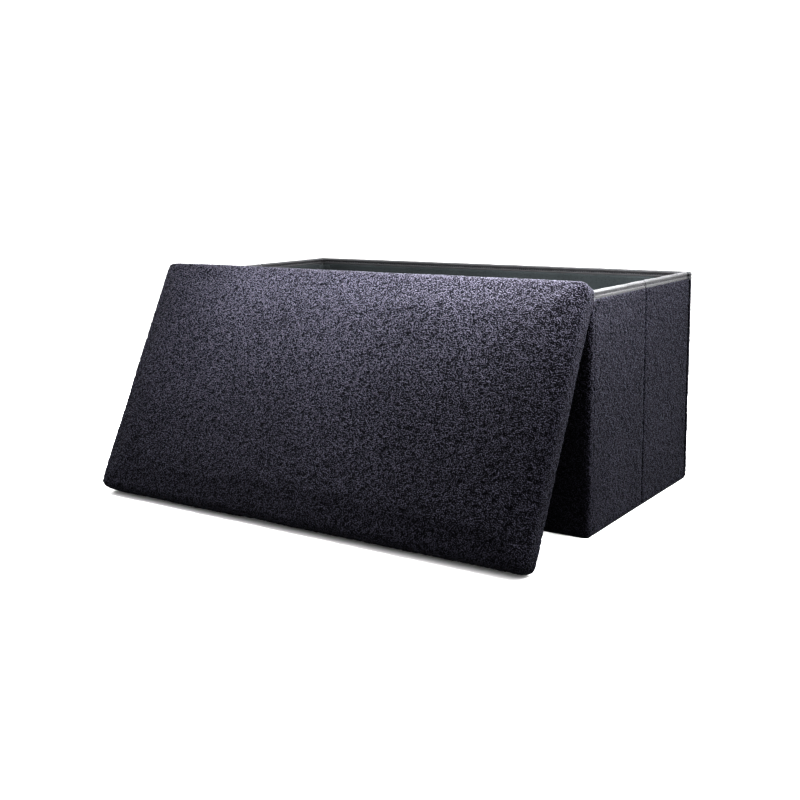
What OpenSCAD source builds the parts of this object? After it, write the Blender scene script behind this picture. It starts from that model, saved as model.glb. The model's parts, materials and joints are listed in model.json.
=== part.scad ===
// Fold-flat storage ottoman: a box of hinged, padded board panels and a loose cushioned lid.
// The origin is the centre of the underside, +X runs along the length, the front faces -Y, +Z is up.
// The lid stands on the ground in front and leans on the front rim, with its cushion outwards.
// Each wall panel is drawn once, lying along X with its inner face on Y = 0, and is then set in place.

/* [Box] */
// Length over the two ends
body_l = 760; // [600:10:1100]
// Depth from the front face to the back face
body_d = 380; // [340:10:420]
// Height of the rim above the ground
wall_h = 342; // [300:2:380]

/* [Walls] */
// Thickness of the fibreboard in each wall
board_t = 5; // [4:0.5:6]
// Thickness of the curled cover with its wadding
cover_t = 5.5; // [5:0.5:7]
// Thickness of the inner lining cloth
lining_t = 0.8; // [0.5:0.1:0.8]
// Radius of the box's four upright outer corners
corner_r = 6; // [3:1:8]
// Radius of an end leaf's upright outer edges
leaf_edge_r = 2; // [1:0.5:3]

/* [Rim] */
// Height of the binding tape on the wall
rim_h = 12; // [11:1:20]
// Thickness of the bound rim, which is also the roll's diameter
rim_t = 10; // [9:0.5:10]
// Radius of the filler cord inside the roll
cord_r = 3.4; // [2.5:0.1:3.6]

/* [Fold] */
// Space between an end leaf and the wall beside it
corner_gap = 0.8; // [0.5:0.1:1.5]
// Space on each side of the fold line in the middle of an end
fold_gap = 0.4; // [0.3:0.1:1]
// Distance of the middle fold's axis outside the end's face
fold_proud = 1.5; // [0.5:0.5:3]

/* [Lid] */
// Length of the lid
lid_l = 768; // [600:2:1110]
// Depth of the lid
lid_d = 384; // [344:2:430]
// Thickness of the lid with its cushion
lid_t = 36; // [30:1:60]
// Angle of the leaning lid from the ground
lid_lean = 63.5; // [55:0.5:70]
// Thickness of the lid's fibreboard
lid_board_t = 5; // [4:1:9]
// Width of the cover that is turned under the board
turn_in = 26; // [20:1:40]
// Radius of the lid's corners
lid_corner_r = 14; // [8:1:25]

/* [Floor] */
// Thickness of the sewn cloth bottom
floor_t = 2.2; // [1.5:0.1:3]

/* [Hidden] */
$fn = 48;

// A wall from its inner face outwards: lining, board, cover.
lining_in = 0.2;                                    // lining lies this far behind the rim's inner face
board_in = lining_in + lining_t;
wall_t = board_in + board_t + cover_t;
wall_z0 = floor_t + 0.4;                            // the walls stand just clear of the floor cloth
bottom_turn = 2;                                    // cover turned under the board
leaf_l = body_d / 2 - wall_t - corner_gap - fold_gap;
leaf_mid = fold_gap + leaf_l / 2;

// The rim: a cord in a rolled binding, sewn over the top of the board.
rim_r = rim_t / 2;
cord_bore_r = cord_r + 0.05;                        // running clearance
cord_z = wall_h - rim_r;
board_top = wall_h - rim_h + 3;
binding_end = 2;                                    // closed end of the rolled binding

// The leaning lid touches the front roll at lid_reach from its foot.
lid_gap = 0.3;
rim_y = -(body_d / 2 - wall_t + rim_r);
lid_reach = (cord_z + (rim_r + lid_gap) * cos(lid_lean)) / sin(lid_lean);
lid_foot_y = rim_y - lid_reach * cos(lid_lean) - (rim_r + lid_gap) * sin(lid_lean);

// Layers of the lid, from its underside outwards.
underside_in = 0.4;                                 // room for the staples' crowns
underlining_t = 0.7;
lid_board_in = underside_in + underlining_t;
lid_cover_t = 4;
lid_foam_t = lid_t - lid_board_in - lid_board_t - lid_cover_t;
staple_l = 10;
staple_w = 0.8;
staple_leg = 5;
staple_pitch = 62;
staple_inset = turn_in + 6;

cover_colour = [0.20, 0.19, 0.22];
lining_colour = [0.27, 0.30, 0.31];
binding_colour = [0.36, 0.36, 0.38];
board_colour = [0.52, 0.38, 0.26];
foam_colour = [0.90, 0.87, 0.74];
steel_colour = [0.72, 0.72, 0.70];

// ---- shapes that repeat ----

// Plan of a panel along X, with both outer upright edges rounded.
module panel_plan(length, edge_r) {
    difference() {
        translate([-length / 2, lining_in]) square([length, wall_t - lining_in]);
        for (side = [-1, 1])
            translate([side * length / 2, wall_t]) difference() {
                square(2 * edge_r, center = true);
                translate([-side * edge_r, -edge_r]) circle(edge_r);
            }
    }
}

module panel_board(length) {
    translate([-length / 2 + cover_t, board_in, wall_z0 + bottom_turn])
        cube([length - 2 * cover_t, board_t, board_top - wall_z0 - bottom_turn]);
}

module panel_lining(length) {
    translate([-length / 2 + cover_t, lining_in, wall_z0 + bottom_turn])
        cube([length - 2 * cover_t, lining_t, wall_h - rim_h - wall_z0 - bottom_turn]);
}

module panel_cover(length, edge_r) {
    difference() {
        translate([0, 0, wall_z0])
            linear_extrude(wall_h - rim_h - wall_z0) panel_plan(length, edge_r);
        panel_board(length);
        panel_lining(length);
    }
}

// Rolled binding: a stadium section with a bore for the cord and a slot for the board.
module panel_binding(length) {
    difference() {
        union() {
            translate([-length / 2, 0, wall_h - rim_h]) cube([length, rim_t, rim_h - rim_r]);
            translate([-length / 2, rim_r, cord_z]) rotate([0, 90, 0]) cylinder(h = length, r = rim_r);
        }
        translate([-length / 2 + binding_end, rim_r, cord_z])
            rotate([0, 90, 0]) cylinder(h = length - 2 * binding_end, r = cord_bore_r);
        panel_board(length);
    }
}

module panel_rim_cord(length) {
    translate([-length / 2 + binding_end + 1, rim_r, cord_z])
        rotate([0, 90, 0]) cylinder(h = length - 2 * binding_end - 2, r = cord_r);
}

// ---- places of the six panels ----

module at_back() {
    translate([0, body_d / 2 - wall_t, 0]) children();
}

module at_front() {
    translate([0, -body_d / 2 + wall_t, 0]) rotate([0, 0, 180]) children();
}

// An end leaf: side is 1 on the right and -1 on the left, row is 1 at the rear and -1 at the front.
module at_end(side, row) {
    translate([side * (body_l / 2 - wall_t), row * leaf_mid, 0]) rotate([0, 0, -90 * side]) children();
}

// The lid's own frame: X along its length, Y up its slope from the foot, Z out through the cushion.
module at_lid() {
    translate([0, lid_foot_y, 0]) rotate([lid_lean, 0, 0]) children();
}

// ---- back wall ----
module back_board() { color(board_colour) at_back() panel_board(body_l); }
module back_cover() { color(cover_colour) at_back() panel_cover(body_l, corner_r); }
module back_lining() { color(lining_colour) at_back() panel_lining(body_l); }
module back_binding() { color(binding_colour) at_back() panel_binding(body_l); }
module back_rim_cord() { color(foam_colour) at_back() panel_rim_cord(body_l); }

// ---- front wall ----
module front_board() { color(board_colour) at_front() panel_board(body_l); }
module front_cover() { color(cover_colour) at_front() panel_cover(body_l, corner_r); }
module front_lining() { color(lining_colour) at_front() panel_lining(body_l); }
module front_binding() { color(binding_colour) at_front() panel_binding(body_l); }
module front_rim_cord() { color(foam_colour) at_front() panel_rim_cord(body_l); }

// ---- right end ----
module right_rear_board() { color(board_colour) at_end(1, 1) panel_board(leaf_l); }
module right_rear_cover() { color(cover_colour) at_end(1, 1) panel_cover(leaf_l, leaf_edge_r); }
module right_rear_lining() { color(lining_colour) at_end(1, 1) panel_lining(leaf_l); }
module right_rear_binding() { color(binding_colour) at_end(1, 1) panel_binding(leaf_l); }
module right_rear_rim_cord() { color(foam_colour) at_end(1, 1) panel_rim_cord(leaf_l); }
module right_front_board() { color(board_colour) at_end(1, -1) panel_board(leaf_l); }
module right_front_cover() { color(cover_colour) at_end(1, -1) panel_cover(leaf_l, leaf_edge_r); }
module right_front_lining() { color(lining_colour) at_end(1, -1) panel_lining(leaf_l); }
module right_front_binding() { color(binding_colour) at_end(1, -1) panel_binding(leaf_l); }
module right_front_rim_cord() { color(foam_colour) at_end(1, -1) panel_rim_cord(leaf_l); }

// ---- left end ----
module left_rear_board() { color(board_colour) at_end(-1, 1) panel_board(leaf_l); }
module left_rear_cover() { color(cover_colour) at_end(-1, 1) panel_cover(leaf_l, leaf_edge_r); }
module left_rear_lining() { color(lining_colour) at_end(-1, 1) panel_lining(leaf_l); }
module left_rear_binding() { color(binding_colour) at_end(-1, 1) panel_binding(leaf_l); }
module left_rear_rim_cord() { color(foam_colour) at_end(-1, 1) panel_rim_cord(leaf_l); }
module left_front_board() { color(board_colour) at_end(-1, -1) panel_board(leaf_l); }
module left_front_cover() { color(cover_colour) at_end(-1, -1) panel_cover(leaf_l, leaf_edge_r); }
module left_front_lining() { color(lining_colour) at_end(-1, -1) panel_lining(leaf_l); }
module left_front_binding() { color(binding_colour) at_end(-1, -1) panel_binding(leaf_l); }
module left_front_rim_cord() { color(foam_colour) at_end(-1, -1) panel_rim_cord(leaf_l); }

// ---- floor ----

// Rectangle centred on the origin with round corners.
module round_rect(length, width, r) {
    square([length - 2 * r, width], center = true);
    square([length, width - 2 * r], center = true);
    for (sx = [-1, 1], sy = [-1, 1])
        translate([sx * (length / 2 - r), sy * (width / 2 - r)]) circle(r);
}

module floor_sheet() {
    color(lining_colour) linear_extrude(floor_t) round_rect(body_l, body_d, corner_r);
}

// ---- lid ----

// A slab parallel to the lid's underside, inset from the edge, between two heights.
module lid_slab(inset, z_low, z_high, r) {
    translate([0, lid_d / 2, z_low])
        linear_extrude(z_high - z_low) round_rect(lid_l - 2 * inset, lid_d - 2 * inset, r);
}

module lid_core(z_low, z_high) {
    lid_slab(lid_cover_t, z_low, z_high, lid_corner_r - lid_cover_t);
}

// The two legs of each staple, as pegs through the underlining into the board.
module staple_legs() {
    at_staples() for (end = [-1, 1])
        translate([end * (staple_l - staple_w) / 2 - staple_w / 2, -staple_w / 2, underside_in])
            cube([staple_w, staple_w, staple_leg]);
}

// Staples in a row along each side of the underlining, at about staple_pitch apart.
module at_staples() {
    long_side = lid_l - 2 * staple_inset;
    short_side = lid_d - 2 * staple_inset;
    long_count = round(long_side / staple_pitch);
    short_count = round(short_side / staple_pitch);
    for (side = [-1, 1], i = [0 : long_count])
        translate([(i / long_count - 0.5) * long_side, lid_d / 2 + side * short_side / 2, 0]) children();
    for (side = [-1, 1], i = [1 : short_count - 1])
        translate([side * long_side / 2, lid_d / 2 + (i / short_count - 0.5) * short_side, 0])
            rotate([0, 0, 90]) children();
}

module lid_board() {
    color(board_colour) at_lid() difference() {
        lid_core(lid_board_in, lid_board_in + lid_board_t);
        staple_legs();
    }
}

module lid_foam() {
    color(foam_colour) at_lid()
        lid_core(lid_board_in + lid_board_t, lid_board_in + lid_board_t + lid_foam_t);
}

module lid_cover() {
    color(cover_colour) at_lid() difference() {
        lid_slab(0, 0, lid_t, lid_corner_r);
        lid_core(lid_board_in, lid_t - lid_cover_t);
        lid_slab(turn_in, -1, lid_board_in + 1, 2);
    }
}

module lid_underlining() {
    color(lining_colour) at_lid() difference() {
        lid_slab(turn_in, underside_in, lid_board_in, 2);
        staple_legs();
    }
}

module lid_staples() {
    color(steel_colour) at_lid() {
        staple_legs();
        at_staples() translate([-staple_l / 2, -staple_w / 2, 0]) cube([staple_l, staple_w, underside_in]);
    }
}

back_board();
back_cover();
back_lining();
back_binding();
back_rim_cord();
front_board();
front_cover();
front_lining();
front_binding();
front_rim_cord();
right_rear_board();
right_rear_cover();
right_rear_lining();
right_rear_binding();
right_rear_rim_cord();
right_front_board();
right_front_cover();
right_front_lining();
right_front_binding();
right_front_rim_cord();
left_rear_board();
left_rear_cover();
left_rear_lining();
left_rear_binding();
left_rear_rim_cord();
left_front_board();
left_front_cover();
left_front_lining();
left_front_binding();
left_front_rim_cord();
floor_sheet();
lid_board();
lid_foam();
lid_cover();
lid_underlining();
lid_staples();
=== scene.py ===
# %% [markdown]
# # A fold-flat storage ottoman
# This lesson dresses a working model of a long storage ottoman. The frame already holds every hard
# part, its size and its joints, so each piece here takes its place from the frame, and most of them ride on
# one of its bodies. What is left to make is what a person sees and touches: curled cloth, tape, thread,
# lining and the padded lid.

# %% The frame and its bodies
import json
import math

import bpy
import numpy as np
from mathutils import Matrix, Vector


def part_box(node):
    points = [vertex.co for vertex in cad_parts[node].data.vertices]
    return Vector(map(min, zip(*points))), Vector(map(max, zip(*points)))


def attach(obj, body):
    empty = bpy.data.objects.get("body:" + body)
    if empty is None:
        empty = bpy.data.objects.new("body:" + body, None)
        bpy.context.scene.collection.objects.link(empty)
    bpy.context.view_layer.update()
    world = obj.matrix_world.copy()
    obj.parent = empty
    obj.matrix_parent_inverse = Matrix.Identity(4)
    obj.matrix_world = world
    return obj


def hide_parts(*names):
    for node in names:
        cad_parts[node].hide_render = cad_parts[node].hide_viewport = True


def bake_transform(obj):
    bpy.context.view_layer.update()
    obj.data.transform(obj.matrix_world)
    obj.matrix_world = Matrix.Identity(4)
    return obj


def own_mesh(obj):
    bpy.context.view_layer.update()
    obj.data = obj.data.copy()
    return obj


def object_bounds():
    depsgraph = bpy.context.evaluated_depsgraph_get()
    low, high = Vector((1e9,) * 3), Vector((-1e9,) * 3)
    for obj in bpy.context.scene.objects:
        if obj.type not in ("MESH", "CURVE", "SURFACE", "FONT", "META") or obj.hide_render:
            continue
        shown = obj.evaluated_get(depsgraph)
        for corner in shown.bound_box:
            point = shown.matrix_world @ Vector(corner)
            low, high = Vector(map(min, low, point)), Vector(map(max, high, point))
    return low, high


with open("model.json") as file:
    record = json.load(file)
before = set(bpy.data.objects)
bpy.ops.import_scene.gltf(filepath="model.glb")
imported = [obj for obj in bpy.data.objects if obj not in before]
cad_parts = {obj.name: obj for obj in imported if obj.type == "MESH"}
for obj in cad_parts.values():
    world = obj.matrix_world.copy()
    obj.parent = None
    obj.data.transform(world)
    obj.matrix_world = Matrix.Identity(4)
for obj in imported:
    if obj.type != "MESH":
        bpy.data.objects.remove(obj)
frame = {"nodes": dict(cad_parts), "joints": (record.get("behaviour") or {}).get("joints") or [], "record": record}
cad_low, cad_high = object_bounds()
MM = 0.001
print("size of the frame in mm:", [round(side / MM) for side in cad_high - cad_low])

# %% [markdown]
# ## Where to stand
# A product picture of low furniture is taken from a little above it, a third of the way round to one
# end, with a normal lens. A camera on a ring round an aim point is easy to reason about: an azimuth, an
# elevation and a distance. A small shift slides the picture on the film, and keeps upright edges upright.

# %% Camera
def ring_camera(azimuth, elevation, roll, distance, aim, lens, shift):
    data = bpy.data.cameras.new("camera")
    data.lens = lens
    data.shift_x, data.shift_y = shift
    a, e = math.radians(azimuth), math.radians(elevation)
    back = Vector((math.sin(a) * math.cos(e), -math.cos(a) * math.cos(e), math.sin(e)))
    camera = bpy.data.objects.new("camera", data)
    bpy.context.scene.collection.objects.link(camera)
    turn = (-back).to_track_quat("-Z", "Y").to_matrix() @ Matrix.Rotation(math.radians(roll), 3, "Z")
    camera.matrix_world = Matrix.Translation(Vector(aim) + back * distance) @ turn.to_4x4()
    return camera


bpy.context.scene.camera = ring_camera(
    azimuth=33.0, elevation=9.4, roll=-0.5, distance=1.84, aim=(0.011, 0, 0.186), lens=49.5,
    shift=(-0.046, -0.044))
print("camera stands at", [round(x, 2) for x in bpy.context.scene.camera.location])

# %% [markdown]
# ## Studio
# Dark cloth shows its curl only where light grazes it. The room is a white dome over a dark ground. A
# low soft box hangs close in front of the lid's top edge, so that the light is strong there and falls
# away quickly down the lid. One stands at each end and one behind, for the other sides. The floor is
# one plain pale sheet. It takes light and shadow but throws none back, because light from below would
# flatten the dark cloth. A high contrast look then deepens the gaps between the curls.

# %% Floor, lights and world
def soft_box(name, place, aim, size, watts, colour=(1, 1, 1)):
    data = bpy.data.lights.new(name, "AREA")
    data.shape = "RECTANGLE"
    data.size, data.size_y = size
    data.energy = watts
    data.color = colour
    lamp = bpy.data.objects.new(name, data)
    lamp.visible_camera = False
    bpy.context.scene.collection.objects.link(lamp)
    lamp.location = place
    lamp.rotation_euler = (Vector(aim) - Vector(place)).to_track_quat("-Z", "Y").to_euler()
    return lamp


def studio_floor(half):
    mesh = bpy.data.meshes.new("studio_floor")
    mesh.from_pydata([(-half, -half, 0), (half, -half, 0), (half, half, 0), (-half, half, 0)], [],
                     [(0, 1, 2, 3)])
    floor = bpy.data.objects.new("studio_floor", mesh)
    bpy.context.scene.collection.objects.link(floor)
    floor.visible_diffuse = False
    return floor


def white_dome(strength):
    """A world that is white above the horizon and dark below it."""
    world = bpy.data.worlds.new("studio")
    world.use_nodes = True
    tree = world.node_tree
    direction = tree.nodes.new("ShaderNodeTexCoord").outputs["Generated"]
    split = tree.nodes.new("ShaderNodeSeparateXYZ")
    ramp = tree.nodes.new("ShaderNodeMapRange")
    tree.links.new(direction, split.inputs[0])
    tree.links.new(split.outputs["Z"], ramp.inputs["Value"])
    for name, value in (("From Min", -0.12), ("From Max", 0.0), ("To Min", 0.02), ("To Max", strength)):
        ramp.inputs[name].default_value = value
    background = tree.nodes["Background"]
    background.inputs["Color"].default_value = (1, 1, 1, 1)
    tree.links.new(ramp.outputs["Result"], background.inputs["Strength"])
    return world


floor = studio_floor(40)
soft_box("edge_box", (0.10, -0.300, 0.475), (0.08, -0.23, 0.30), (0.80, 0.08), 7.0, (1.0, 0.99, 0.97))
soft_box("top_box", (0.3, 0.3, 1.4), (0.0, -0.1, 0.2), (1.4, 0.8), 10)
soft_box("right_box", (0.68, -0.06, 0.62), (0.38, -0.05, 0.28), (0.5, 0.3), 6.0)
soft_box("back_box", (0.0, 1.05, 0.42), (0.0, 0.19, 0.2), (1.2, 0.3), 9)
soft_box("left_box", (-1.1, 0.1, 0.45), (-0.38, 0.0, 0.2), (0.5, 0.3), 7)
bpy.context.scene.world = white_dome(1.08)
bpy.context.scene.view_settings.view_transform = "Standard"
bpy.context.scene.view_settings.look = "Very High Contrast"

# %% [markdown]
# ## Shader sums
# A finish is easier to read as a formula than as a web of nodes. This small class wraps one socket, and
# the usual signs then add Math nodes. Any other node comes from one method, which takes the node's type,
# its settings, and the values or links of its sockets.

# %% Sockets that add up
class Wire:
    """A socket of a node tree that takes part in sums."""

    def __init__(self, finish, socket):
        self.finish, self.socket = finish, socket

    def _sum(self, operation, first, second=None):
        pair = {0: first} if second is None else {0: first, 1: second}
        return self.finish.node("ShaderNodeMath", {"operation": operation}, pair)["Value"]

    def __add__(self, other):
        return self._sum("ADD", self, other)

    def __sub__(self, other):
        return self._sum("SUBTRACT", self, other)

    def __mul__(self, other):
        return self._sum("MULTIPLY", self, other)

    def __rsub__(self, other):
        return self._sum("SUBTRACT", other, self)

    __radd__, __rmul__ = __add__, __mul__

    def clamped(self):
        return self._sum("MINIMUM", self._sum("MAXIMUM", self, 0.0), 1.0)


print("a socket can be added, taken away and multiplied")

# %% [markdown]
# A finish owns one material. Its methods make the few kinds of node that cloth needs: noise, cells, a value
# painted on the mesh, a mix of two colours and a bump.

# %% Finishes
class Outputs:
    """A node's outputs by name, as wires."""

    def __init__(self, finish, node):
        self.finish, self.made = finish, node

    def __getitem__(self, key):
        return Wire(self.finish, self.made.outputs[key])


class Finish:
    """A material and its Principled shader."""

    def __init__(self, name, **constants):
        self.material = bpy.data.materials.new(name)
        self.material.use_nodes = True
        self.tree = self.material.node_tree
        self.shader = self.tree.nodes["Principled BSDF"]
        self.set(self.shader, constants)

    def set(self, node, sockets):
        for key, value in sockets.items():
            socket = node.inputs[key.replace("_", " ") if isinstance(key, str) else key]
            if isinstance(value, Wire):
                self.tree.links.new(value.socket, socket)
            elif isinstance(value, tuple) and len(value) == 3 and socket.type == "RGBA":
                socket.default_value = (*value, 1)
            else:
                socket.default_value = value

    def node(self, kind, settings=None, sockets=None):
        made = self.tree.nodes.new(kind)
        for key, value in (settings or {}).items():
            setattr(made, key, value)
        self.set(made, sockets or {})
        return Outputs(self, made)

    def place(self):
        return self.node("ShaderNodeTexCoord")["Object"]

    def noise(self, scale, detail=2.0, rough=0.5, at=None):
        at = at or self.place()
        return self.node("ShaderNodeTexNoise", {}, {
            "Vector": at, "Scale": scale, "Detail": detail, "Roughness": rough})["Fac"]

    def cells(self, scale, feature="F1", at=None):
        at = at or self.place()
        return self.node("ShaderNodeTexVoronoi", {"feature": feature}, {
            "Vector": at, "Scale": scale})["Distance"]

    def painted(self, name):
        return self.node("ShaderNodeAttribute", {"attribute_name": name})["Fac"]

    def mix(self, share, dark, light):
        made = self.node("ShaderNodeMix", {"data_type": "RGBA"}).made
        self.set(made, {0: share, 6: dark, 7: light})
        return Wire(self, made.outputs[2])

    def bump(self, height, distance, strength=1.0):
        return self.node("ShaderNodeBump", {}, {
            "Height": height, "Distance": distance, "Strength": strength})["Normal"]

    def show(self, **sockets):
        self.set(self.shader, sockets)
        return self.material


print("a finish is a formula from here on")

# %% [markdown]
# ## The curled cloth
# Curled wool-like cloth is a knit whose loops stand up as small tight curls, three or four
# millimetres across, with dark gaps between them. The larger curls are real geometry here, so that the
# outline is ragged too. The mesh carries how high each point stands on its curl, and the finish paints it
# as shade: tips are painted lighter and gaps darker. Two finer layers of cells, smaller than the mesh can
# hold, are left to colour and bump, and the cells paint the same shade into the gaps between small loops.

# %% Curled cloth
def curled_cloth():
    f = Finish("curled_cloth", Roughness=0.95, Sheen_Weight=0.06, Sheen_Roughness=0.4,
               Sheen_Tint=(0.75, 0.76, 0.88), Specular_IOR_Level=0.12)
    at = f.place()
    curl = f.painted("curl")
    loops = 1.0 - (f.cells(560, "F1", at) * 1.5).clamped()
    yarn = f.noise(1300, 2.0, 0.6, at)
    patch = f.noise(7, 2.0, 0.5, at)
    # Painted shade: curl tips and the centres of the small loops are painted lighter, and the gaps between them
    # darker.
    light = (curl * 0.45 + loops * 1.5 + yarn * 1.2 + patch * 0.3 - 1.27).clamped()
    colour = f.mix(light, (0.0036, 0.0034, 0.0055), (0.074, 0.072, 0.094))
    height = loops * 0.8 + yarn * 0.35
    return f.show(Base_Color=colour, Normal=f.bump(height, 1.8 * MM, 1.0))


CURLED = curled_cloth()

# %% [markdown]
# ## Tape, lining and thread
# The rim tape is a smooth, slightly shiny weave with fine ribs across it. The lining is a non-woven
# cloth: pressed fibres with a grid of small welded dots. Thread is twisted.

# %% Finishes of the sewn parts
def rim_tape():
    f = Finish("rim_tape", Roughness=0.62, Specular_IOR_Level=0.35, Sheen_Weight=0.08)
    at = f.place()
    ribs = f.node("ShaderNodeTexWave", {"wave_type": "BANDS", "bands_direction": "DIAGONAL"}, {
        "Vector": at, "Scale": 420, "Distortion": 0.6, "Detail": 1.0})["Fac"]
    rubbed = f.noise(38, 3.0, 0.6, at)
    # Painted highlight and shade from the section: lighter on the top of the roll and the hem ridge, darker in the
    # pinch.
    edge = f.painted("curl")
    light = (ribs * 0.3 + rubbed * 0.4 + edge * 0.6 - 0.1).clamped()
    colour = f.mix(light, (0.014, 0.014, 0.016), (0.060, 0.061, 0.065))
    return f.show(Base_Color=colour, Roughness=0.72 - rubbed * 0.2,
                  Normal=f.bump(ribs * 0.6 + rubbed * 0.4, 0.25 * MM))


def dotted_cloth(name, dark, light, dots):
    """Non-woven cloth: felted fibres, pressed into a grid of small welded dots."""
    f = Finish(name, Roughness=0.85, Specular_IOR_Level=0.2, Sheen_Weight=0.1)
    at = f.place()
    welds = (f.cells(dots, "F1", at) * 2.4).clamped()
    fibres = f.node("ShaderNodeTexNoise", {}, {
        "Vector": at, "Scale": 900, "Detail": 3.0, "Distortion": 1.5})["Fac"]
    cloud = f.noise(11, 2.0, 0.5, at)
    share = (fibres * 0.5 + cloud * 0.5 + welds * 0.3 - 0.25).clamped()
    colour = f.mix(share, dark, light)
    return f.show(Base_Color=colour, Normal=f.bump(welds * 0.7 + fibres * 0.3, 0.3 * MM, 0.8))


def thread():
    f = Finish("thread", Roughness=0.6, Specular_IOR_Level=0.3)
    twist = f.node("ShaderNodeTexWave", {"bands_direction": "DIAGONAL"}, {
        "Vector": f.place(), "Scale": 900})["Fac"]
    return f.show(Base_Color=f.mix(twist, (0.05, 0.05, 0.055), (0.16, 0.16, 0.17)),
                  Normal=f.bump(twist, 0.1 * MM))


TAPE, THREAD = rim_tape(), thread()
LINING = dotted_cloth("lining_cloth", (0.010, 0.0122, 0.0130), (0.042, 0.048, 0.051), 260)
UNDERLINING = dotted_cloth("underlining_cloth", (0.006, 0.006, 0.007), (0.030, 0.030, 0.032), 300)
print("sewn parts:", [m.name for m in (TAPE, THREAD, LINING, UNDERLINING)])

# %% [markdown]
# ## What hides inside
# The boards, the foam and the filler cord are covered, and still get the finish a cut edge would show.
# Most are the frame's own objects, so only their material slots are filled.

# %% Finishes of the hidden parts
def fibreboard():
    f = Finish("fibreboard", Roughness=0.8)
    at = f.place()
    chips = f.noise(650, 4.0, 0.7, at) * 0.6 + f.noise(40, 3.0, 0.5, at) * 0.4
    return f.show(Base_Color=f.mix(chips, (0.20, 0.12, 0.06), (0.45, 0.31, 0.18)),
                  Normal=f.bump(chips, 0.2 * MM))


def open_foam():
    f = Finish("open_foam", Roughness=0.9)
    pores = (f.cells(700) * 2.0).clamped()
    return f.show(Base_Color=f.mix(pores, (0.95, 0.88, 0.66), (0.72, 0.62, 0.38)),
                  Normal=f.bump(1.0 - pores, 0.5 * MM))


def filler_cord():
    f = Finish("filler_cord", Roughness=0.9)
    strands = f.node("ShaderNodeTexWave", {"bands_direction": "DIAGONAL"}, {
        "Vector": f.place(), "Scale": 260, "Distortion": 1.5})["Fac"]
    return f.show(Base_Color=f.mix(strands, (0.45, 0.43, 0.38), (0.80, 0.78, 0.71)),
                  Normal=f.bump(strands, 0.4 * MM))


def staple_wire():
    f = Finish("staple_wire", Metallic=1.0)
    wear = f.noise(900, 3.0)
    return f.show(Base_Color=f.mix(wear, (0.42, 0.42, 0.41), (0.74, 0.74, 0.72)),
                  Roughness=0.25 + wear * 0.3)


def plain_floor():
    f = Finish("plain_floor", Roughness=0.9, Specular_IOR_Level=0.1)
    return f.show(Base_Color=(0.97, 0.97, 0.97))


floor.data.materials.append(plain_floor())
INSIDES = {"board": fibreboard(), "foam": open_foam(), "cord": filler_cord(), "steel": staple_wire()}
for row in frame["record"]["subparts"]:
    finish = INSIDES.get(row["material_slot"])
    if finish:
        for material_slot in frame["nodes"][row["node"]].material_slots:
            material_slot.material = finish
print("finishes:", len(bpy.data.materials))

# %% [markdown]
# ## Noise in arrays
# Curls, ripples and wear are all noise: a value that changes smoothly from place to place and comes
# out the same on each run. Working on whole arrays of points keeps a quarter of a million of them
# quick. The value comes from a hash of whole-number cells, so nothing needs a random seed from outside.

# %% Noise helpers
def hashed(cells, seed):
    """A fixed value from 0 to 1 for each whole-number cell."""
    x, y, z = (cells[..., i].astype(np.int64) for i in range(3))
    h = (x * 73856093 ^ y * 19349663 ^ z * 83492791 ^ (seed + 1) * 40503) & 0xFFFFFFFF
    h = ((h ^ (h >> 15)) * 2246822519) & 0xFFFFFFFF
    h = ((h ^ (h >> 13)) * 3266489917) & 0xFFFFFFFF
    return ((h ^ (h >> 16)) & 0xFFFFFF) / float(0xFFFFFF)


def ripple(points, size, seed):
    """Smooth noise from -1 to 1 with features of about this size."""
    scaled = points / size
    base = np.floor(scaled)
    part = scaled - base
    part = part * part * (3 - 2 * part)
    total = np.zeros(len(points))
    for corner in np.ndindex(2, 2, 2):
        share = np.prod(np.where(np.array(corner) == 1, part, 1 - part), axis=1)
        total += share * hashed(base + np.array(corner), seed)
    return 2 * total - 1


def curls(points, size, seed):
    """Rounded nubs from 0 in the gaps to 1 on the tips, one to each cell of this size."""
    scaled = points / size
    base = np.floor(scaled)
    nearest = np.full(len(points), 9.0)
    for step in np.ndindex(3, 3, 3):
        cell = base + np.array(step) - 1
        spot = cell + np.stack([hashed(cell, seed + k) for k in range(3)], axis=1)
        nearest = np.minimum(nearest, ((scaled - spot) ** 2).sum(axis=1))
    return np.sqrt(np.clip(1 - nearest / 0.62, 0, 1))


print("noise repeats:", round(float(ripple(np.ones((1, 3)) * 0.3, 1.0, 5)[0]), 4))

# %% [markdown]
# ## Skins on an even grid
# Cloth over a board is a thin box with rounded edges. A box drawn as an even grid gives displacement
# the same small squares everywhere. Points near an edge are then pulled onto an arc round the box's
# inner core, which rounds the edge and keeps the grid. A side that nothing can see is left out.

# %% Grid helpers
SIDES = {"-x": (0, 0), "+x": (0, 1), "-y": (1, 0), "+y": (1, 1), "-z": (2, 0), "+z": (2, 1)}


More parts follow.
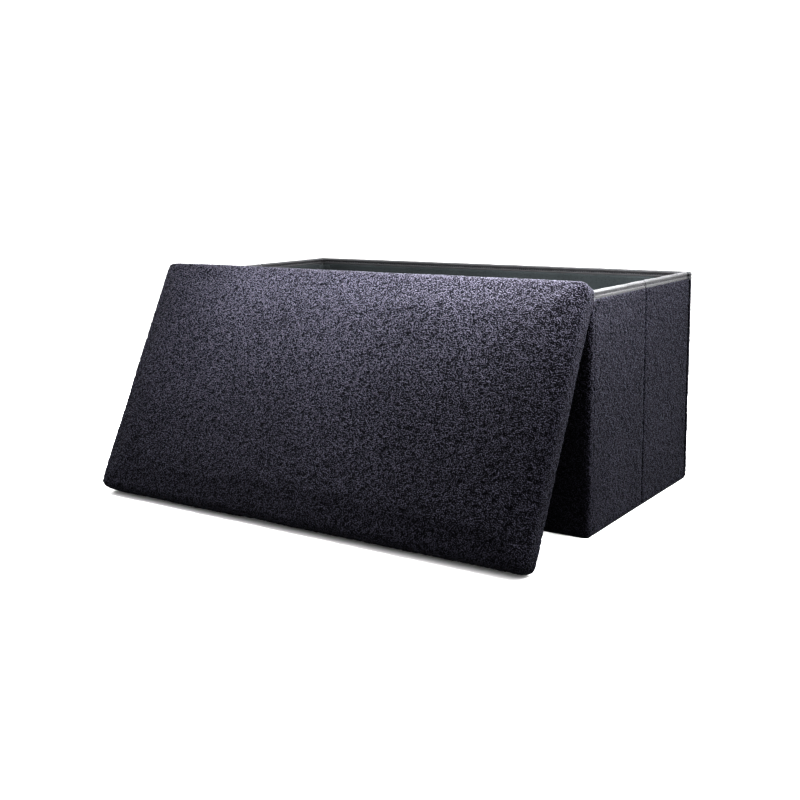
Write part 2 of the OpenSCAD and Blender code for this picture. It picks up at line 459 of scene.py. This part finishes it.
def box_grid(low, high, cell, leave_out=()):
    """Points and outward-facing quads of a box's surface, on a grid of about this cell."""
    low, high = np.array(low, float), np.array(high, float)
    n = np.maximum(np.round((high - low) / cell), 1).astype(int)
    quads = []
    for name, (axis, end) in SIDES.items():
        if name in leave_out:
            continue
        b, c = (axis + 1) % 3, (axis + 2) % 3
        i, j = np.meshgrid(np.arange(n[b]), np.arange(n[c]), indexing="ij")
        corners = np.zeros((4, i.size, 3), int)
        corners[..., axis] = n[axis] * end
        for k, (di, dj) in enumerate(((0, 0), (1, 0), (1, 1), (0, 1))):
            corners[k, :, b] = (i + di).ravel()
            corners[k, :, c] = (j + dj).ravel()
        quads.append(corners if end else corners[::-1])
    lattice = np.concatenate(quads, axis=1)
    code = (lattice[..., 0] * (n[1] + 1) + lattice[..., 1]) * (n[2] + 1) + lattice[..., 2]
    kept, index = np.unique(code.T.ravel(), return_inverse=True)
    lattice = np.stack([kept // ((n[1] + 1) * (n[2] + 1)), kept // (n[2] + 1) % (n[1] + 1),
                        kept % (n[2] + 1)], axis=1)
    return low + lattice * (high - low) / n, index.reshape(-1, 4)


def rounded(points, low, high, core_low, core_high):
    """Pulls the points of a box onto arcs round its core, axis by axis as far as the core is inset."""
    core = np.clip(points, core_low, core_high)
    reach = np.where(points > core, np.array(high) - core_high, np.array(core_low) - low)
    away = points - core
    span = np.maximum(np.abs(away) / np.maximum(reach, 1e-9), 0)
    size = np.sqrt((span ** 2).sum(axis=1, keepdims=True))
    return core + away * np.where(size > 0, span.max(axis=1, keepdims=True) / np.maximum(size, 1e-9), 1)


def mesh_piece(name, points, quads, finish, place=Matrix.Identity(4), values=None):
    """A smooth-shaded object in the row frame, with an optional value for each point, which the cloth and tape
    finishes paint as light and shade.
    """
    points = np.asarray(points) @ np.array(place.to_3x3()).T + np.array(place.translation)
    mesh = bpy.data.meshes.new(name)
    mesh.from_pydata(points.tolist(), [], [tuple(q) for q in np.asarray(quads).tolist()])
    mesh.polygons.foreach_set("use_smooth", np.ones(len(mesh.polygons), bool))
    if values is not None:
        mesh.attributes.new("curl", "FLOAT", "POINT").data.foreach_set("value", values.astype(np.float32))
    mesh.materials.append(finish)
    piece = bpy.data.objects.new(name, mesh)
    bpy.context.scene.collection.objects.link(piece)
    return piece


def normals_of(points, quads):
    """A normal at each point, from the quads' diagonals."""
    a, b, c, d = (points[quads[:, k]] for k in range(4))
    face = np.cross(c - a, d - b)
    total = np.zeros_like(points)
    for k in range(4):
        np.add.at(total, quads[:, k], face)
    return total / np.maximum(np.linalg.norm(total, axis=1, keepdims=True), 1e-12)


def dress(piece, body, slot, *nodes):
    """Rides on a body and stands for these nodes of the frame. The slot is not used."""
    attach(piece, body)
    if nodes:
        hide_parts(*nodes)
    return piece


print("grid of a 10 mm cube at 5 mm:", box_grid((0, 0, 0), (10, 10, 10), 5)[0].shape)

# %% [markdown]
# ## Six panels
# The box is six boards in cloth: a back, a front, and two leaves at each end, which meet on the fold
# line. They differ only in length and place, so one description serves them all. A panel's own frame has
# X along it, Y outwards from its inner face and Z up. Its place is read from the frame's boxes.

# %% The panels
class Panel:
    """One wall panel: its name, body, place and sizes in metres."""

    def __init__(self, name, body, outward):
        self.name, self.body = name, body
        low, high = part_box(f"{name}_cover")
        rim_low, rim_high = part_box(f"{name}_binding")
        out = Vector((*outward, 0))
        along = Vector((outward[1], -outward[0], 0))
        far = max(out.dot(low), out.dot(high))
        inner = min(out.dot(rim_low), out.dot(rim_high))
        middle = (low + high) / 2
        origin = out * inner + along * along.dot(middle)
        self.length = abs(along.dot(high - low))
        self.thick = far - inner
        self.rim_thick = abs(out.dot(rim_high - rim_low))
        self.bottom, self.seam, self.top = low.z, rim_low.z, rim_high.z
        self.place = Matrix.Translation(origin) @ Matrix((
            (along.x, out.x, 0), (along.y, out.y, 0), (0, 0, 1))).to_4x4()
        self.is_leaf = self.length < (cad_high - cad_low).x / 2
        self.fold_side = -math.copysign(1, along.dot(middle))


PANELS = [
    Panel("back", "back_wall", (0, 1)), Panel("front", "front_wall", (0, -1)),
    Panel("right_rear", "right_rear_leaf", (1, 0)), Panel("right_front", "right_front_leaf", (1, 0)),
    Panel("left_rear", "left_rear_leaf", (-1, 0)), Panel("left_front", "left_front_leaf", (-1, 0))]
for panel in PANELS:
    print(panel.name, "is", round(panel.length / MM), "mm long and", round(panel.thick / MM, 1), "mm thick")

# %% [markdown]
# ## Panel covers
# A cover is cloth glued over thin wadding, wrapped round the board's outer face, ends and foot. It
# could be a flat box with a bumpy finish, but its outline would then be a ruler's. Here the box is a fine
# grid: slow ripples make the wadding uneven, and each point then stands out by the height of its curl.
# Curls are pressed flat where two panels meet and under the tape.

# %% Curled covers on the panels
CURL_SIZE = 4.4 * MM
CURL_HIGH = 1.9 * MM
CLOTH_CELL = 2.1 * MM
WALL_CORNER, LEAF_CORNER = 5.5 * MM, 0.9 * MM
LEAF_REACH = 0.45 * MM
FOOT_ROUND, SEAM_ROUND = 2.5 * MM, 1.5 * MM


def curled(points, quads, flat):
    """Raises curls on a skin. flat is 0 where they stand up and 1 where they are pressed down."""
    curl = curls(points, CURL_SIZE, 11)
    fine = ripple(points, CURL_SIZE * 0.42, 23)
    high = (0.75 * curl + 0.25 * fine) * CURL_HIGH * (1 - flat)
    # The second value is the curl height, which the cloth finish paints as shade: lighter on tips, darker in gaps
    # and where curls are pressed flat.
    return points + normals_of(points, quads) * high[:, None], curl * (1 - 0.6 * flat)


def panel_cover(panel):
    corner = LEAF_CORNER if panel.is_leaf else WALL_CORNER
    overlap, hem = 0.9 * MM, 4.5 * MM
    low = np.array((-panel.length / 2, panel.rim_thick * 0.05, panel.bottom))
    high = np.array((panel.length / 2, panel.thick - CURL_HIGH * 0.45, panel.seam + overlap))
    if panel.is_leaf:
        low[0] -= max(panel.fold_side, 0) * LEAF_REACH
        high[0] += max(-panel.fold_side, 0) * LEAF_REACH
    points, quads = box_grid(low, high, CLOTH_CELL, leave_out=("-y",))
    core_low = low + np.array((corner, 0, FOOT_ROUND))
    core_high = high - np.array((corner, max(corner, FOOT_ROUND), SEAM_ROUND))
    points = rounded(points, low, high, core_low, core_high)
    to_fold = panel.length / 2 - panel.fold_side * points[:, 0] if panel.is_leaf else points[:, 0] + 1
    to_seam = high[2] - points[:, 2]
    pull = 0.5 * np.exp(-np.maximum(to_seam, 0) / hem) + np.exp(-np.maximum(to_fold, 0) / hem)
    outwards = points[:, 1] > panel.thick / 2
    points[:, 1] -= outwards * pull * 0.9 * MM
    world = points @ np.array(panel.place.to_3x3()).T + np.array(panel.place.translation)
    points[:, 1] += outwards * ripple(world, 55 * MM, 3) * 0.45 * MM
    facing = np.abs(normals_of(points, quads))
    flat = np.clip(facing[:, 0] * 1.6 - 0.6, 0, 1) * (0.95 if panel.is_leaf else 0.0)
    flat = np.maximum(flat, np.clip(1 - to_seam / (1.5 * MM), 0, 1))
    flat = np.maximum(flat, np.clip(1 - (points[:, 2] - panel.bottom) / (1 * MM), 0, 1))
    points, curl = curled(points, quads, flat)
    return mesh_piece(f"{panel.name}_curled_cover", points, quads, CURLED, panel.place, curl)


for panel in PANELS:
    piece = dress(panel_cover(panel), panel.body, "boucle", f"{panel.name}_cover")
    print(piece.name, len(piece.data.polygons), "squares")

# %% [markdown]
# ## Rolled rim tape
# The top of each panel is bound in smooth tape, rolled over a filler cord and sewn down on both
# sides. It is a cross-section, carried along the panel: down outside, over the roll and down inside,
# with a thickness. A pinch at the sewing line lets the roll bulge above it and the hem stand out below
# it, which draws the two light lines along the rim. The section also carries painted light: the top of
# the roll and the hem ridge are painted lighter, and the pinch darker. Small ripples keep it from looking moulded.

# %% Section of the tape
TAPE_THICK = 0.9 * MM
SEW_LINE = 5.6 * MM


def tape_section(panel, count=12):
    """Outer line of the tape's section as (y, z, painted light), from the outer hem over to the inner."""
    r = panel.rim_thick / 2
    roll_z = panel.top - r
    straight = roll_z - panel.seam + 1.6 * MM
    drop = np.linspace(0, 1, 15) * straight
    pinch = np.exp(-((drop - SEW_LINE) / (0.9 * MM)) ** 2)
    ridge = np.exp(-((drop - SEW_LINE + 2.1 * MM) / (1.1 * MM)) ** 2)
    side = r - 0.5 * MM - pinch * 1.4 * MM + ridge * 0.5 * MM
    # The third column is painted light: lighter on the hem ridge below the sewing line, darker in the pinch.
    outer = np.stack([r + side, panel.seam + drop, 0.5 * ridge - pinch * 0.8], axis=1)
    angle = np.linspace(0.3, math.pi - 0.3, count)
    # The top of the roll is painted lighter.
    arc = np.stack([r + r * np.cos(angle), roll_z + r * np.sin(angle), 0.8 * np.sin(angle) ** 2], axis=1)
    inner = outer[::-1] * (-1, 1, 1) + (2 * r, 0, 0)
    return np.concatenate([outer, arc, inner])


def sweep(stations, section, thick, shape):
    """A closed band: the section and an inner copy of it, carried along the stations and shaped."""
    middle = np.gradient(section[:, :2], axis=0)
    normal = np.stack([middle[:, 1], -middle[:, 0]], axis=1)
    normal /= np.linalg.norm(normal, axis=1, keepdims=True)
    ring = np.concatenate([section[:, :2], (section[:, :2] - normal * thick)[::-1]])
    # shown is the section's painted light. The band's inner copy is painted 0, which is darker.
    shown = np.concatenate([section[:, 2], section[::-1, 2] * 0])
    n, m = len(stations), len(ring)
    points = np.zeros((n, m, 3))
    points[..., 0] = stations[:, None]
    points[..., 1:] = ring[None]
    points = shape(points.reshape(-1, 3))
    i, j = np.meshgrid(np.arange(n - 1), np.arange(m), indexing="ij")
    a, b = (i * m + j).ravel(), (i * m + (j + 1) % m).ravel()
    quads = np.stack([a, b, b + m, a + m], axis=1)
    half = m // 2
    k = np.arange(half - 1)
    cap = np.stack([k, m - 1 - k, m - 2 - k, k + 1], axis=1)
    quads = np.concatenate([quads, cap, (cap + (n - 1) * m)[:, ::-1]])
    return points, quads, np.tile(shown, n)


def tucked_ends(points, quads, ring, count):
    """Closes a tube of tape at both ends: its outer line is joined straight across."""
    k = np.arange(count // 2 - 1)
    across = np.stack([k, k + 1, count - 2 - k, count - 1 - k], axis=1)
    last = len(points) - ring
    return np.concatenate([quads, across[:, ::-1], across + last])


print("points in the tape's section:", len(tape_section(PANELS[0])))

# %% [markdown]
# The band of one panel follows the section from end to end. It slims down at the ends, where two panels
# meet, and is closed there so that the cord doesn't show.

# %% Tape on the rims
def rim_band(panel):
    r = panel.rim_thick / 2
    end_round = 4.5 * MM if not panel.is_leaf else 1.8 * MM
    reach = panel.length / 2 + (0.3 if panel.is_leaf else 0.6) * MM
    stations = np.linspace(-reach, reach, max(int(panel.length / (3 * MM)), 8))

    def shape(points):
        world = points @ np.array(panel.place.to_3x3()).T + np.array(panel.place.translation)
        wobble = ripple(world, 17 * MM, 41) * 0.28 * MM + ripple(world, 6 * MM, 42) * 0.14 * MM
        to_end = np.clip((reach - np.abs(points[:, 0])) / end_round, 0, 1)
        slim = 1 - 0.22 * (1 - np.sqrt(1 - (1 - to_end) ** 2)) * (points[:, 1] > r)
        points[:, 1] = r + (points[:, 1] - r) * slim * (1 + wobble / r)
        points[:, 2] += wobble * 0.7 - (1 - np.sqrt(1 - (1 - to_end) ** 2)) * 1.2 * MM
        return points

    section = tape_section(panel)
    points, quads, shown = sweep(stations, section, TAPE_THICK, shape)
    quads = tucked_ends(points, quads, 2 * len(section), len(section))
    return mesh_piece(f"{panel.name}_rim_tape", points, quads, TAPE, panel.place, shown)


print("tape is", TAPE_THICK / MM, "mm thick")

# %% [markdown]
# Stitches are small and many. One rounded stitch is made once and copied to each place as an array, in a
# single mesh, which is far quicker than an object for each.

# %% Stitches along the tape
def tube_stitches(name, places, along, out, long, radius, place):
    """One small rounded stitch at each place, all in one mesh, lying along and standing out."""
    along, out = np.array(along, float), np.array(out, float)
    up = np.cross(along, out)
    turn = np.linspace(0, 2 * math.pi, 7)[:-1]
    rings = [(-0.5, 0.35), (-0.32, 1.0), (0.32, 1.0), (0.5, 0.35)]
    one = np.array([along * s * long + (out * math.sin(t) + up * math.cos(t)) * radius * w
                    for s, w in rings for t in turn])
    faces = [(6 * k + j, 6 * k + (j + 1) % 6, 6 * k + 6 + (j + 1) % 6, 6 * k + 6 + j)
             for k in range(3) for j in range(6)]
    ends = [(0, 5, 4, 3), (0, 3, 2, 1), (18, 19, 20, 21), (18, 21, 22, 23)]
    quads = np.array(faces + ends)
    points = (np.array(places)[:, None] + one[None]).reshape(-1, 3)
    quads = (np.arange(len(places))[:, None, None] * len(one) + quads[None]).reshape(-1, 4)
    return mesh_piece(name, points, quads, THREAD, place)


def rim_stitches(panel, pitch=4.2 * MM):
    count = int((panel.length - 6 * MM) / pitch)
    x = (np.arange(count) - (count - 1) / 2) * pitch
    places = [(at, side, panel.seam + SEW_LINE)
              for side in (panel.rim_thick - 1.0 * MM, 1.0 * MM) for at in x]
    return tube_stitches(f"{panel.name}_rim_stitches", places, (1, 0, 0), (0, 1, 0), 3.0 * MM,
                         0.32 * MM, panel.place)


for panel in PANELS:
    tape = dress(rim_band(panel), panel.body, "binding", f"{panel.name}_binding")
    stitches = dress(rim_stitches(panel), panel.body, "binding")
    r = panel.rim_thick / 2
    tape_wide = 2 * (panel.top - r - panel.seam) + math.pi * r
print("tape is cut", round(tape_wide / MM), "mm wide")

# %% [markdown]
# ## Linings
# Inside, each board is faced with non-woven cloth, stuck down only round its edge, so it lies in
# slow shallow waves. A flat grid pushed in and out by smooth noise does this. The waves die away at the
# edges, and they run mostly upright because the cloth hangs from the rim.

# %% Linings of the panels
LINING_THICK = 0.5 * MM


def thin_sheet(width, length, cell, lift, thick):
    """A closed thin sheet on a grid, centred on the origin in XZ: lift gives how far it stands in Y."""
    nx, nz = max(int(width / cell), 2), max(int(length / cell), 2)
    x, z = np.meshgrid(np.linspace(-0.5, 0.5, nx + 1) * width, np.linspace(-0.5, 0.5, nz + 1) * length,
                       indexing="ij")
    y = lift(x.ravel(), z.ravel())
    front = np.stack([x.ravel(), y, z.ravel()], axis=1)
    points = np.concatenate([front, front + (0, thick, 0)])
    m, n = nz + 1, (nx + 1) * (nz + 1)
    i, j = np.meshgrid(np.arange(nx), np.arange(nz), indexing="ij")
    a = (i * m + j).ravel()
    face = np.stack([a, a + m, a + m + 1, a + 1], axis=1)
    rim = np.concatenate([np.arange(m), np.arange(2, nx + 2) * m - 1, n - 2 - np.arange(m - 1),
                          np.arange(nx - 1, 0, -1) * m])
    nextup = np.roll(rim, -1)
    side = np.stack([rim, rim + n, nextup + n, nextup], axis=1)
    return points, np.concatenate([face, (face + n)[:, ::-1], side[:, ::-1]])


def panel_lining(panel):
    low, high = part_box(f"{panel.name}_lining")
    width, length = panel.length - 2.0 * MM, high.z - low.z + 5 * MM
    face = 0.45 * MM

    def lift(x, z):
        inset = np.minimum(width / 2 - np.abs(x), length / 2 - np.abs(z))
        free = np.clip(inset / (25 * MM), 0, 1)
        at = np.stack([x / (34 * MM), np.zeros_like(x), z / (120 * MM)], axis=1)
        return face + free * (ripple(at, 1.0, 60 + len(panel.name)) * 0.4 - 0.35) * MM

    points, quads = thin_sheet(width, length, 5 * MM, lift, LINING_THICK)
    middle = panel.place @ Matrix.Translation((0, 0, (low.z + high.z) / 2))
    piece = mesh_piece(f"{panel.name}_lining_cloth", points, quads, LINING, middle)
    return piece


for panel in PANELS:
    dress(panel_lining(panel), panel.body, "lining", f"{panel.name}_lining")
print("lined", len(PANELS), "panels")

# %% [markdown]
# ## Cloth hinges
# The box has no metal hinge: cloth does the work. At the middle of each end the cover itself runs across
# the fold on the outside, and each strip of it is one piece laid across the fold.

# %% Cloth over the middle folds
STRIP_THICK = 0.3 * MM
FOLD_REACH = 5.5 * MM
LONG_WALL, LEAF = PANELS[0], PANELS[2]


def upright_strip(name, path, low, high, finish, painted_light_level):
    """A thin ribbon: a path in plan, carried from one height to another."""
    path = np.array(path)
    # painted_light_level is painted light on the ribbon's outer side. Its inner side is painted 0, which is
    # darker.
    section = np.concatenate([path, np.full((len(path), 1), painted_light_level)], axis=1)
    points, quads, shown = sweep(np.linspace(low, high, 40), section, STRIP_THICK, lambda p: p)
    wave = ripple(points * (1, 0, 0) + (0, 5, 7), 24 * MM, 51) * 0.05 * MM
    points = np.stack([points[:, 1] + wave, points[:, 2] + wave, points[:, 0]], axis=1)
    return mesh_piece(name, points, quads, finish, values=shown)


def run_length(path):
    return float(np.linalg.norm(np.diff(np.array(path), axis=0), axis=1).sum())


def fold_cloth(side, name):
    face = side * (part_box(f"{name}_rear_cover")[1 if side > 0 else 0].x * side - 1.9 * MM)
    path = [(face, side * y) for y in np.linspace(-FOLD_REACH, FOLD_REACH, 23)]
    low, high = LEAF.bottom + 1 * MM, LEAF.seam - 1 * MM
    # The cloth over the fold carries an even painted curl shade of 0.45.
    piece = upright_strip(f"{name}_fold_cloth", path, low, high, CURLED, 0.45)
    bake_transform(piece)
    return piece


for side, name in ((1, "right"), (-1, "left")):
    print(fold_cloth(side, name).name, "crosses the fold")

# %% [markdown]
# At the corners a strip of lining, glued into the angle, joins a leaf to a long wall. The front left corner
# has no strip across it, because the six walls form a loop and the frame leaves that corner open. It gets two
# flat strips, one on each wall, that meet when the box stands.

# %% Cloth in the corners
STRIP_WIDE = 15 * MM
hinges = {j["name"]: j for j in frame["joints"] if j["type"] == "hinge"}
corner_x = abs(hinges["fold"]["pos_m"][0]) - 0.1 * MM
corner_y = abs(hinges["fold"]["pos_m"][1]) + 0.7 * MM


def corner_path(sx, sy, legs):
    """The strip's line in plan, along the long wall, round the corner and along the leaf."""
    bend = 0.6 * MM
    along = [(sx * (corner_x - d), sy * corner_y) for d in np.linspace(STRIP_WIDE, bend, 8)]
    down = [(sx * corner_x, sy * (corner_y - d)) for d in np.linspace(bend, STRIP_WIDE, 8)]
    path = (along if "wall" in legs else []) + (down if "leaf" in legs else [])
    return path if sx * sy > 0 else path[::-1]


def corner_strip(name, sx, sy, legs):
    path = corner_path(sx, sy, legs)
    low, high = 3.2 * MM, LONG_WALL.seam - 1 * MM
    piece = upright_strip(name, path, low, high, LINING, 0.0)
    return piece, (run_length(path), high - low)


def joined_corner(name, sx, sy):
    piece, flat = corner_strip(f"{name}_corner_cloth", sx, sy, ("wall", "leaf"))
    sx * (corner_x - 1.5 * MM)
    sy * corner_y
    sx * corner_x
    sy * (corner_y - 1.5 * MM)
    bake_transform(piece)


joined_corner("right_rear", 1, 1)
joined_corner("left_rear", -1, 1)
joined_corner("right_front", 1, -1)
for legs, body in (("wall", "front_wall"), ("leaf", "left_front_leaf")):
    piece, flat = corner_strip(f"left_front_{legs}_cloth", -1, -1, (legs,))
    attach(piece, body)
print("cloth hinges: 5 joined and one left open")

# %% [markdown]
# ## Cloth bottom
# The walls stand on a sewn bottom of stout lining cloth. It is flat on the ground, so it needs little
# shape: a thin slab with a soft edge and a shallow quilted sag. When the box folds, the front wall travels
# to the back and this cloth crumples between them. The slab is not shaped for that.

# %% Cloth bottom
def cloth_bottom():
    low, high = (np.array(v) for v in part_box("floor_sheet"))
    edge = 1.0 * MM
    points, quads = box_grid(low, high, 6 * MM)
    points = rounded(points, low, high, low + (6 * MM, 6 * MM, edge), high - (6 * MM, 6 * MM, edge))
    top = points[:, 2] > (low[2] + high[2]) / 2
    inside = np.minimum(high[0] - np.abs(points[:, 0]), high[1] - np.abs(points[:, 1]))
    sag = np.clip(inside / (30 * MM), 0, 1) * (0.25 + 0.25 * ripple(points, 45 * MM, 77)) * MM
    points[:, 2] -= top * sag
    return mesh_piece("cloth_bottom", points, quads, LINING)


bottom = dress(cloth_bottom(), "back_wall", "lining", "floor_sheet")
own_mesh(bottom)

# %% [markdown]
# ## The lid's own frame
# The lid leans, but it is far easier to shape lying flat: X along it, Y up its slope from the foot, Z
# out through the cushion. The slide joint's axis gives the slope, and the cover's box gives the rest,
# because the height and depth of a tilted slab say how deep and how thick it is.

# %% Lid frame
slide = next(j for j in frame["joints"] if j["name"] == "lid_slide")
slope = -Vector(slide["axis"]).normalized()
lid_low, lid_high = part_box("lid_cover")
rise, run = lid_high.z - lid_low.z, lid_high.y - lid_low.y
lid_deep = (rise * slope.z - run * slope.y) / (slope.z ** 2 - slope.y ** 2)
lid_thick = (run * slope.z - rise * slope.y) / (slope.z ** 2 - slope.y ** 2)
lid_long = lid_high.x - lid_low.x
foot = Vector((0, lid_high.y - lid_deep * slope.y, lid_low.z))
LID_PLACE = Matrix.Translation(foot) @ Matrix(
    ((1, 0, 0), (0, slope.y, -slope.z), (0, slope.z, slope.y))).to_4x4()
print("lid in mm:", [round(v / MM, 1) for v in (lid_long, lid_deep, lid_thick)],
      "leans at", round(math.degrees(math.atan2(slope.z, slope.y)), 1))

# %% [markdown]
# ## The padded lid
# The lid is foam on a board, with the cover pulled down over it and stapled underneath. Foam under a
# tight cover swells evenly from inside, so a cloth simulation with pressure finds where it gives most: the
# underside is held by the board and the rest swells until a cap stops it. It runs on a coarse grid,
# which is quick, and two subdivisions then make it fine enough to carry the curls.

# %% Swelling a padded piece
def swollen(piece, held, frames=20, pressure=4.0, cap=7 * MM):
    """Runs Cloth with inner pressure on a closed piece and returns its points, none moved past the cap."""
    start = np.array([v.co for v in piece.data.vertices])
    group = piece.vertex_groups.new(name="held")
    group.add(np.flatnonzero(held).tolist(), 1.0, "REPLACE")
    cloth = piece.modifiers.new("swell", "CLOTH")
    cloth.settings.quality = 4
    cloth.settings.vertex_group_mass = "held"
    cloth.settings.use_pressure = True
    cloth.settings.uniform_pressure_force = pressure
    cloth.settings.effector_weights.gravity = 0
    cloth.settings.tension_stiffness = 12
    cloth.settings.compression_stiffness = 12
    cloth.settings.bending_stiffness = 1.5
    cloth.point_cache.frame_start, cloth.point_cache.frame_end = 1, frames
    for step in range(1, frames + 1):
        bpy.context.scene.frame_set(step)
    soft = piece.evaluated_get(bpy.context.evaluated_depsgraph_get())
    end = np.array([v.co for v in soft.data.vertices])
    piece.modifiers.remove(cloth)
    piece.vertex_groups.remove(group)
    bpy.context.scene.frame_set(1)
    moved = end - start
    far = np.linalg.norm(moved, axis=1, keepdims=True)
    return start + moved * np.minimum(1, cap / np.maximum(far, 1e-9))


def subdivided(points, quads, times):
    """Points and quads after smooth subdivision."""
    mesh = bpy.data.meshes.new("coarse")
    mesh.from_pydata(points.tolist(), [], quads.tolist())
    piece = bpy.data.objects.new("coarse", mesh)
    bpy.context.scene.collection.objects.link(piece)
    modifier = piece.modifiers.new("finer", "SUBSURF")
    modifier.levels = times
    fine = piece.evaluated_get(bpy.context.evaluated_depsgraph_get()).to_mesh()
    points = np.array([v.co for v in fine.vertices])
    quads = np.array([tuple(p.vertices) for p in fine.polygons])
    bpy.data.objects.remove(piece)
    bpy.data.meshes.remove(mesh)
    return points, quads


print("swelling runs")

# %% [markdown]
# The crown itself is given as a shape, because the simulation also draws the sides in, and the real foam holds
# them out. Only the outward part of the swelling is kept, up to a millimetre and a half.

# %% Shape of the lid
SIM_CELL = 8.6 * MM
SWELL_MOST = 1.5 * MM
CROWN_REACH = 32 * MM
CORNER, EDGE = 13 * MM, 6 * MM
SKIN_IN = -1.6 * MM


def lid_shape(inset, top, cell, crown):
    """A slab as long and wide as the lid less the inset, rounded above, with a low crown on top."""
    low = np.array((inset - lid_long / 2, max(inset, 0), 0.0))
    high = np.array((lid_long / 2 - inset, lid_deep - inset * 1.5, top))
    points, quads = box_grid(low, high, cell)
    points = rounded(points, low, high, low + (CORNER, CORNER, 0), high - (CORNER, CORNER, EDGE))
    to_side = high[0] - np.abs(points[:, 0])
    to_end = np.minimum(points[:, 1] - low[1], high[1] - points[:, 1])
    rise = 1 - np.exp(-(np.maximum(np.minimum(to_side, to_end), 0) / CROWN_REACH) ** 2)
    points[:, 2] += np.clip(points[:, 2] / top * 2 - 1, 0, 1) * rise * crown
    return points, quads


def lid_cushion():
    points, quads = lid_shape(SKIN_IN, lid_thick - 3.5 * MM, SIM_CELL, 5.5 * MM)
    piece = mesh_piece("lid_swelling", points, quads, CURLED)
    out = normals_of(points, quads)
    moved = ((swollen(piece, points[:, 2] < 4 * MM) - points) * out).sum(axis=1)
    print("the cover swells by up to", round(moved.max() / MM, 1), "mm")
    points = points + out * np.clip(moved, 0, SWELL_MOST)[:, None]
    bpy.data.objects.remove(piece)
    return subdivided(points, quads, 2)


def underside_open(points, quads, border):
    """Drops the underside's middle, which the underlining covers, and the points it leaves loose."""
    middle = points[quads].mean(axis=1)
    inside = np.abs(middle[:, 0]) < lid_long / 2 - border
    inside &= np.abs(middle[:, 1] - lid_deep / 2) < lid_deep / 2 - border
    quads = quads[~(inside & (middle[:, 2] < 2 * MM))]
    kept, index = np.unique(quads.ravel(), return_inverse=True)
    return points[kept], index.reshape(-1, 4)


print("a lid is", round(lid_thick / MM, 1), "mm thick, with corners of", round(CORNER / MM), "mm")

# %% [markdown]
# ## Foam and skin
# The foam is the same shape, drawn in a little, so that its softened edges stay inside the skin. The skin
# is the swollen cover before it has any curls.

# %% Foam block and skin
foam_low, foam_high = lid_thick * 0.17, lid_thick - 9 * MM
points, quads = lid_shape(5 * MM, foam_high, 6 * MM, 5 * MM)
points[:, 2] = np.maximum(points[:, 2], foam_low)
foam = mesh_piece("lid_foam_block", points, quads, INSIDES["foam"], LID_PLACE)
dress(foam, "lid", "foam", "lid_foam")
points, quads = lid_cushion()
points, quads = underside_open(points, quads, 30 * MM)
print("lid skin:", len(quads), "squares; crown at", round(points[:, 2].max() / MM, 1), "mm")

# %% [markdown]
# ## Curls on the lid
# The same curls as on the walls stand on the lid, from the same noise, so cloth matches cloth. They are
# pressed down under the lid, where it rests on the box, and the turned-in hem lifts a little to its edge.

# %% Lid cover
under = np.clip(1 - points[:, 2] / (3 * MM), 0, 1)
waves = ripple(points, 70 * MM, 9) * 0.7 * MM * (1 - under)
points = points + normals_of(points, quads) * waves[:, None]
points, curl = curled(points, quads, 0.8 * under)
to_side = lid_long / 2 - np.abs(points[:, 0])
to_end = lid_deep / 2 - np.abs(points[:, 1] - lid_deep / 2)
hem = np.clip((np.minimum(to_side, to_end) - 12 * MM) / (10 * MM), 0, 1) * 0.5 * MM
points[:, 2] = np.maximum(points[:, 2], hem * (points[:, 2] < 5 * MM))
lid_cover = mesh_piece("lid_curled_cover", points, quads, CURLED, LID_PLACE, curl)
dress(lid_cover, "lid", "boucle", "lid_cover")
print(lid_cover.name, len(quads), "squares")

# %% [markdown]
# ## Under the lid
# A black non-woven sheet closes the underside. Staples hold its edge every few centimetres, and the sheet
# lifts a little away from its edge, in a slow ripple. The staples themselves are the frame's, in steel.

# %% Underlining
def lid_underlining():
    inset, lift_high = 24 * MM, 0.5 * MM
    width, length = lid_long - 2 * inset, lid_deep - 2 * inset

    def lift(x, z):
        to_edge = np.minimum(width / 2 - np.abs(x), length / 2 - np.abs(z))
        at = np.stack([x, np.zeros_like(x), z], axis=1)
        free = np.clip(to_edge / (16 * MM), 0, 1)
        return -0.45 * MM - free * (0.1 + 0.1 * ripple(at, 38 * MM, 91)) * lift_high

    points, quads = thin_sheet(width, length, 6 * MM, lift, 0.3 * MM)
    flat = LID_PLACE @ Matrix.Translation((0, lid_deep / 2, 0)) @ Matrix.Rotation(-math.pi / 2, 4, "X")
    piece = mesh_piece("lid_underlining_cloth", points, quads, UNDERLINING, flat)
    return piece


dress(lid_underlining(), "lid", "underlining", "lid_underlining")
print("the underlining is held by", len(frame["nodes"]["lid_staples"].data.polygons), "faces of staples")
